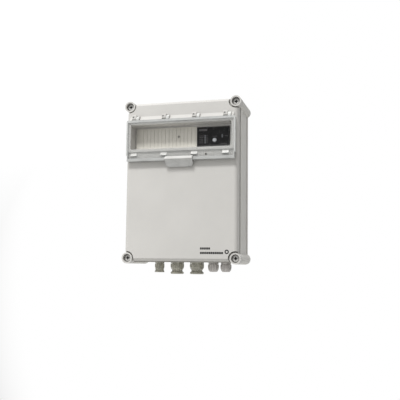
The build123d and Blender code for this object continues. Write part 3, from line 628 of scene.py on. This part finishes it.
def make_device_details():
    """Labels, dial marks and screw marks on the devices inside."""
    plates = Piece("device_labels", "enclosure", LABEL)
    ink = Piece("device_label_print", "enclosure", INK)
    label(plates, ink, (-97.0, -58.0), (118.0, 123.6), 82.0, 2)
    label(plates, ink, (-97.0, -58.0), (81.5, 86.5), 82.0, 2)
    label(plates, ink, (-98.0, -87.0), (-14.0, -5.0), 78.0, 3)
    label(plates, ink, (-68.0, -57.5), (-36.0, -8.0), 78.0, 6)
    label(plates, ink, (-96.0, -60.0), (-68.5, -62.0), 66.0, 2)
    label(plates, ink, (-48.2, -34.2), (83.0, 88.0), 74.0, 2)
    label(plates, ink, (44.0, 76.0), (84.0, 121.0), 68.0, 7)
    label(plates, ink, (62.0, 92.0), (19.0, 32.0), 48.0, 3)
    for i in range(10):
        x = -42.0 + 6.2 * i
        plates.pad((x + 0.6, x + 5.4), (-24.0, -16.0), (53.9, 54.5), 0.4)
        ink.pad((x + 2.0, x + 4.0), (-20.6 - 0.5 * (i % 2), -19.4), (54.4, 54.6), 0.2)
    for i in range(11):
        angle = math.radians(-135 + 27 * i)
        x, z = -87.0 + 9.0 * math.sin(angle), -78.0 + 9.0 * math.cos(angle)
        ink.disc(x, z, 0.45, (65.9, 66.12), 10)
    for x, z in ((-77.5, 116.3), (-63.7, 102.5)):
        ink.disc(x, z, 0.8, (81.9, 82.15), 14)
    plates.finish()
    ink.finish()


def make_device_relief():
    """Moulded relief on the dark devices: slits, terminal shrouds and the knob's ring."""
    relief = Piece("device_relief", "enclosure", MATERIALS["device_grey"], bevel=0.15)
    relief.ring(-77.5, 102.5, 14.6, 12.9, (81.9, 83.0), 48)
    relief.ring(-87.0, -78.0, 8.3, 7.5, (65.9, 66.7), 36)
    relief.ring(-67.0, -78.0, 5.4, 4.4, (65.9, 66.9), 30)
    for x0 in (-92.5, -77.5, -62.5):
        for z, f in ((64.0, 60.0), (141.0, 60.0), (-50.0, 58.0), (10.0, 58.0), (-103.0, 52.0)):
            relief.pad((x0 - 6.2, x0 - 5.0), (z - 5.6, z + 5.6), (f - 0.1, f + 1.2), 0.4)
            relief.pad((x0 + 5.0, x0 + 6.2), (z - 5.6, z + 5.6), (f - 0.1, f + 1.2), 0.4)
    for i in range(7):
        z = -31.0 + 3.0 * i
        relief.pad((-98.0, -88.0), (z - 0.7 - 8.0, z + 0.7 - 8.0), (77.9, 78.5), 0.3)
    relief.finish()
    pale = Piece("device_relief_pale", "enclosure", MATERIALS["device_light"], bevel=0.15)
    for i in range(9):
        z = 85.0 + 4.2 * i
        pale.pad((79.0, 91.0), (z - 1.0, z + 1.0), (67.9, 68.7), 0.5)
    pale.ring(-41.2, 102.5, 2.6, 1.7, (71.8, 72.6), 24)
    pale.finish()


def make_board_parts():
    """Parts soldered on the control board: capacitors, chips, resistors, a plug and screws."""
    face = 18.6
    dark = Piece("board_chips", "enclosure", MATERIALS["transformer_black"], bevel=0.1)
    chips = ((56.0, -40.0, 9.0, 11.0), (76.0, -58.0, 14.0, 6.0),
             (97.0, -34.0, 7.0, 7.0), (60.0, -60.0, 6.0, 5.0))
    for x, z, w, h in chips:
        dark.pad((x - w / 2, x + w / 2), (z - h / 2, z + h / 2), (face, face + 2.2), 0.4)
    for i in range(6):
        dark.pad((84.0 + 3.2 * i, 86.2 + 3.2 * i), (-50.6, -46.8), (face, face + 1.1), 0.3)
    dark.finish()
    legs = Piece("board_legs", "enclosure", METAL)
    for i in range(7):
        z = -44.5 + 1.5 * i
        for x in (50.6, 61.4):
            legs.pad((x - 1.0, x + 1.0), (z - 0.3, z + 0.3), (face, face + 0.5), 0.1)
    for i in range(8):
        x = 70.7 + 1.5 * i
        for z in (-61.8, -54.2):
            legs.pad((x - 0.3, x + 0.3), (z - 0.9, z + 0.9), (face, face + 0.5), 0.1)
    for x in (77.2 + 6.0 * i for i in range(4)):
        legs.disc(x, 42.0, 1.2, (face, face + 0.6), 16)
    for i in range(8):
        x = 54.0 + 5.75 * (i + 0.5)
        legs.disc(x, -79.0, 1.6, (26.6, 28.4), 18)
    legs.finish()
    cans = Piece("board_capacitors", "enclosure", MATERIALS["zinc_steel"], bevel=0.3)
    for x, z, r, tall in ((76.0, -38.0, 5.0, 15.0), (87.0, -37.0, 4.0, 11.0), (52.0, 26.0, 3.2, 9.0)):
        cans.disc(x, z, r, (face, face + tall), 32)
        cans.ring(x, z, r + 0.15, r - 0.4, (face + 0.1, face + 1.6), 32)
    cans.finish()
    plug = Piece("board_plug", "enclosure", MATERIALS["armature_cream"], bevel=0.2)
    plug.pad((52.0, 72.0), (39.0, 45.6), (face, face + 2.0), 0.3)
    plug.pad((52.0, 72.0), (44.4, 45.6), (face, face + 8.0), 0.3)
    plug.pad((52.0, 53.2), (39.0, 45.6), (face, face + 7.0), 0.3)
    plug.pad((70.8, 72.0), (39.0, 45.6), (face, face + 7.0), 0.3)
    plug.finish()


def make_terminal_screws():
    """Clamp screws down in the terminals' funnels, and the rail's slots between the devices."""
    screws = Piece("terminal_screws", "enclosure", METAL, bevel=0.1)
    for i in range(10):
        x = -42.0 + 6.2 * i + 3.0
        for z in (-39.0, -1.0):
            screws.ring(x, z, 1.9, 0.5, (40.0, 41.6), 20)
    screws.finish()
    slots = Piece("rail_slots", "enclosure", MATERIALS["seal_black"])
    for i in range(3):
        slots.pad((-26.0 + 25.0 * i, -11.0 + 25.0 * i), (100.2, 104.8), (12.0, 12.08), 2.2)
    slots.finish()


make_lid_print()
make_panel_print()
make_socket_floors()
make_catch_faces()
make_gland_ribs()
make_device_details()
make_device_relief()
make_board_parts()
make_terminal_screws()
make_hinge_saddles()
make_seam_lip()


# --- Stage: floor, sky, lights and camera ---
SKY_LEFT, SKY_RIGHT = 1.22, 0.54
SKY_LOW, SKY_HIGH = 0.6, 1.1
FLOOR_HALF = 1.8           # metres
FLOOR_DROP = 0.9           # how far below the object the floor lies, since it hangs on a wall
KEY_PLACE = (-0.3, -3.0, 3.8)
KEY_SIZE = 1.0
KEY_POWER = 190.0
CAMERA_PLACE = (0.3983, -1.4435, -0.1931)
CAMERA_TURN = (96.12, -0.58, 14.85)
CAMERA_LENS = 55.57


def make_floor():
    mesh = bpy.data.meshes.new("floor")
    half, level = FLOOR_HALF, cad_low.z - FLOOR_DROP
    corners = [(-half, -half, level), (half, -half, level), (half, half, level), (-half, half, level)]
    mesh.from_pydata(corners, [], [(0, 1, 2, 3)])
    floor = bpy.data.objects.new("floor", mesh)
    bpy.context.scene.collection.objects.link(floor)
    s = Shader("floor")
    s.feed("Base Color", s.mix(s.spread(s.noise(3.0), 0.0, 1.0), rgb(206, 206, 204), rgb(212, 212, 210)))
    s.set(Roughness=0.9)
    mesh.materials.append(s.material)


def make_light(name, place, target, size, energy):
    data = bpy.data.lights.new(name, "AREA")
    data.shape = "DISK"
    data.size = size
    data.energy = energy
    light = bpy.data.objects.new(name, data)
    light.location = place
    light.rotation_euler = (Vector(target) - Vector(place)).to_track_quat("-Z", "Y").to_euler()
    bpy.context.scene.collection.objects.link(light)


def make_world():
    """A white studio behind the object, dimmer in front of it and dimmer still to its right."""
    world = bpy.data.worlds.new("studio")
    world.use_nodes = True
    tree = world.node_tree
    direction = tree.nodes.new("ShaderNodeTexCoord").outputs["Generated"]
    split = tree.nodes.new("ShaderNodeSeparateXYZ")
    tree.links.new(direction, split.inputs[0])

    def ramp(axis, start, end, low, high):
        mapped = tree.nodes.new("ShaderNodeMapRange")
        mapped.interpolation_type = "SMOOTHSTEP"
        for key, value in (("From Min", start), ("From Max", end), ("To Min", low), ("To Max", high)):
            mapped.inputs[key].default_value = value
        tree.links.new(split.outputs[axis], mapped.inputs["Value"])
        return mapped.outputs[0]

    def combine(first, second, operation):
        maths = tree.nodes.new("ShaderNodeMath")
        maths.operation = operation
        tree.links.new(first, maths.inputs[0])
        tree.links.new(second, maths.inputs[1])
        return maths.outputs[0]

    across = ramp("X", -0.6, 0.9, SKY_LEFT, SKY_RIGHT)
    upward = ramp("Z", -0.5, 0.9, SKY_LOW, SKY_HIGH)
    room = combine(across, upward, "MULTIPLY")
    strength = combine(room, ramp("Y", 0.72, 0.86, 0.0, 1.0), "MAXIMUM")
    tree.links.new(strength, tree.nodes["Background"].inputs["Strength"])
    tree.nodes["Background"].inputs["Color"].default_value = (1.0, 1.0, 1.0, 1.0)
    bpy.context.scene.world = world


def make_camera():
    data = bpy.data.cameras.new("camera")
    data.sensor_width = 36.0
    data.lens = CAMERA_LENS
    data.clip_end = 50.0
    camera = bpy.data.objects.new("camera", data)
    camera.location = CAMERA_PLACE
    camera.rotation_euler = Euler([math.radians(angle) for angle in CAMERA_TURN])
    bpy.context.scene.collection.objects.link(camera)
    bpy.context.scene.camera = camera


make_floor()
make_world()
make_camera()
make_light("key", KEY_PLACE, (0.0, 0.0, 0.0), KEY_SIZE, KEY_POWER)
bpy.context.scene.view_settings.view_transform = "Standard"
